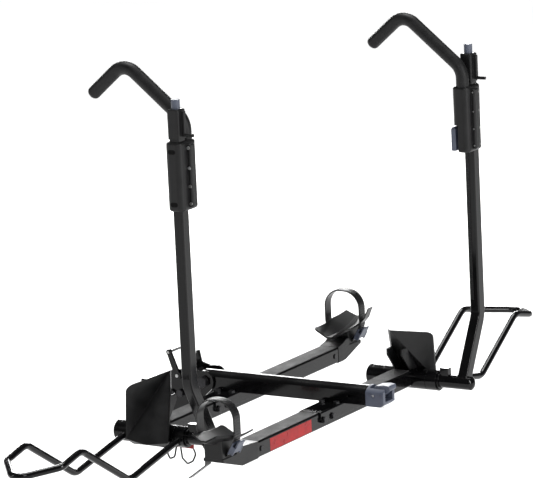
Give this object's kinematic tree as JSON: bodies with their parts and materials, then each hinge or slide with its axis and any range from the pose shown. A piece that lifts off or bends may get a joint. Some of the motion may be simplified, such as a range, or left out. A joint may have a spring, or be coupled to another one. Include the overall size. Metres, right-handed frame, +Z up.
{
  "type": "hitch mounted bike rack",
  "caption": "Tray style bike rack for a 2 inch hitch receiver: tilting spine, wheel trays with folding hook arms and wheel hoops, ratcheting rear wheel straps.",
  "frame": {"origin": "centre of the hitch pin bore in the square tongue", "axes": "+X along the spine away from the vehicle, +Y along the wheel trays across the vehicle (also the hitch pin bore's axis), +Z up; shown level, arms up and hoops out, as in use"},
  "size_m": [0.729, 1.8308, 0.9648],
  "materials": {
    "black_steel": "gloss powder coat",
    "zinc_steel": "zinc plated",
    "black_bolt": "black oxide",
    "grey_plastic": "moulded, fine texture",
    "blue_grey_plastic": "moulded, satin",
    "grip_rubber": "gritty matt",
    "soft_sleeve": "soft matt",
    "strap_rubber": "satin, ribbed",
    "red_plastic": "satin"
  },
  "bodies": {
    "hitch": {"hitch_tongue": "black_steel", "tilt_bracket": "black_steel", "index_quadrant": "black_steel", "pivot_bolt": "black_bolt", "bracket_bolts": "black_bolt"},
    "bail": {"tilt_bail": "black_steel", "bail_rods": "zinc_steel"},
    "spine": {"spine_tube": "black_steel", "spine_cap": "blue_grey_plastic", "lever_pin": "zinc_steel", "saddle_plates": "black_steel", "spine_bolts": "black_bolt", "tray_strips": "grip_rubber", "tray_screws": "black_bolt", "wire_loops": "black_steel", "red_tag": "red_plastic", "inner_tray": "black_steel", "inner_tray_end": "grey_plastic", "inner_pivot_barrel": "black_steel", "inner_scoop": "grey_plastic", "inner_wheel_cradle": "grey_plastic", "inner_strap": "strap_rubber", "inner_strap_buckle": "blue_grey_plastic", "outer_tray": "black_steel", "outer_tray_end": "grey_plastic", "outer_pivot_barrel": "black_steel", "outer_scoop": "grey_plastic", "outer_wheel_cradle": "grey_plastic", "outer_strap": "strap_rubber", "outer_strap_buckle": "blue_grey_plastic"},
    "tilt_lever_body": {"tilt_lever": "blue_grey_plastic"},
    "lock_pin_body": {"lock_pin": "zinc_steel"},
    "inner_arm_body": {"inner_arm_shaft": "black_steel", "inner_arm": "black_steel", "inner_arm_teeth": "grey_plastic", "inner_arm_cap": "grey_plastic"},
    "inner_hoop_body": {"inner_wheel_hoop": "black_steel"},
    "inner_slider": {"inner_grip_inboard_shell": "grey_plastic", "inner_grip_outboard_shell": "grey_plastic", "inner_grip_screws": "zinc_steel", "inner_slider_carriage": "zinc_steel", "inner_hook_core": "zinc_steel", "inner_hook_pad": "soft_sleeve"},
    "inner_trigger_body": {"inner_grip_trigger": "blue_grey_plastic"},
    "inner_button_body": {"inner_arm_button": "blue_grey_plastic"},
    "inner_buckle_body": {"inner_buckle_lever": "blue_grey_plastic"},
    "outer_arm_body": {"outer_arm_shaft": "black_steel", "outer_arm": "black_steel", "outer_arm_teeth": "grey_plastic", "outer_arm_cap": "grey_plastic"},
    "outer_hoop_body": {"outer_wheel_hoop": "black_steel"},
    "outer_slider": {"outer_grip_inboard_shell": "grey_plastic", "outer_grip_outboard_shell": "grey_plastic", "outer_grip_screws": "zinc_steel", "outer_slider_carriage": "zinc_steel", "outer_hook_core": "zinc_steel", "outer_hook_pad": "soft_sleeve"},
    "outer_trigger_body": {"outer_grip_trigger": "blue_grey_plastic"},
    "outer_button_body": {"outer_arm_button": "blue_grey_plastic"},
    "outer_buckle_body": {"outer_buckle_lever": "blue_grey_plastic"}
  },
  "joints": [
    {"name": "tilt", "type": "hinge", "parent": "hitch", "child": "spine", "pos_m": [0.165, 0, 0.036], "axis": [0, 1, 0], "range_deg": [-90, 25]},
    {"name": "bail_swing", "type": "hinge", "parent": "hitch", "child": "bail", "pos_m": [0.095, 0, 0.046], "axis": [0, 1, 0], "range_deg": [0, 40]},
    {"name": "tilt_lever_squeeze", "type": "hinge", "parent": "spine", "child": "tilt_lever_body", "pos_m": [0.628, 0, 0.041], "axis": [0, -1, 0], "range_deg": [0, 20.2]},
    {"name": "lock_pin_slide", "type": "slide", "parent": "spine", "child": "lock_pin_body", "axis": [-1, 0, 0], "range_m": [0, 0.008]},
    {"name": "inner_arm_fold", "type": "hinge", "parent": "spine", "child": "inner_arm_body", "pos_m": [0.225, -0.34, -0.01], "axis": [-1, 0, 0], "range_deg": [0, 80]},
    {"name": "inner_hoop_fold", "type": "hinge", "parent": "spine", "child": "inner_hoop_body", "pos_m": [0.225, -0.34, -0.01], "axis": [-1, 0, 0], "range_deg": [0, 95]},
    {"name": "inner_hook_slide", "type": "slide", "parent": "inner_arm_body", "child": "inner_slider", "axis": [0, 0, 1], "range_m": [-0.33, 0]},
    {"name": "inner_trigger_squeeze", "type": "hinge", "parent": "inner_slider", "child": "inner_trigger_body", "pos_m": [0.3575, -0.3915, 0.604], "axis": [0, -1, 0], "range_deg": [0, 5], "stiffness_Nm_per_rad": 0.5},
    {"name": "inner_button_push", "type": "slide", "parent": "inner_arm_body", "child": "inner_button_body", "axis": [0, 0, -1], "range_m": [0, 0.004], "stiffness_N_per_m": 800},
    {"name": "inner_buckle_lift", "type": "hinge", "parent": "spine", "child": "inner_buckle_body", "pos_m": [0.2684, 0.54, 0.0273], "axis": [0, 1, 0], "range_deg": [0, 70]},
    {"name": "outer_arm_fold", "type": "hinge", "parent": "spine", "child": "outer_arm_body", "pos_m": [0.513, 0.34, -0.01], "axis": [1, 0, 0], "range_deg": [0, 80]},
    {"name": "outer_hoop_fold", "type": "hinge", "parent": "spine", "child": "outer_hoop_body", "pos_m": [0.513, 0.34, -0.01], "axis": [1, 0, 0], "range_deg": [0, 95]},
    {"name": "outer_hook_slide", "type": "slide", "parent": "outer_arm_body", "child": "outer_slider", "axis": [0, 0, 1], "range_m": [-0.33, 0]},
    {"name": "outer_trigger_squeeze", "type": "hinge", "parent": "outer_slider", "child": "outer_trigger_body", "pos_m": [0.6455, 0.3915, 0.604], "axis": [0, -1, 0], "range_deg": [0, 5], "stiffness_Nm_per_rad": 0.5},
    {"name": "outer_button_push", "type": "slide", "parent": "outer_arm_body", "child": "outer_button_body", "axis": [0, 0, -1], "range_m": [0, 0.004], "stiffness_N_per_m": 800},
    {"name": "outer_buckle_lift", "type": "hinge", "parent": "spine", "child": "outer_buckle_body", "pos_m": [0.5564, -0.52, 0.0273], "axis": [0, 1, 0], "range_deg": [0, 70]}
  ],
  "couplings": [
    {"joint": "tilt_lever_squeeze", "follows": "lock_pin_slide", "rad_per_m": 43.6}
  ]
}
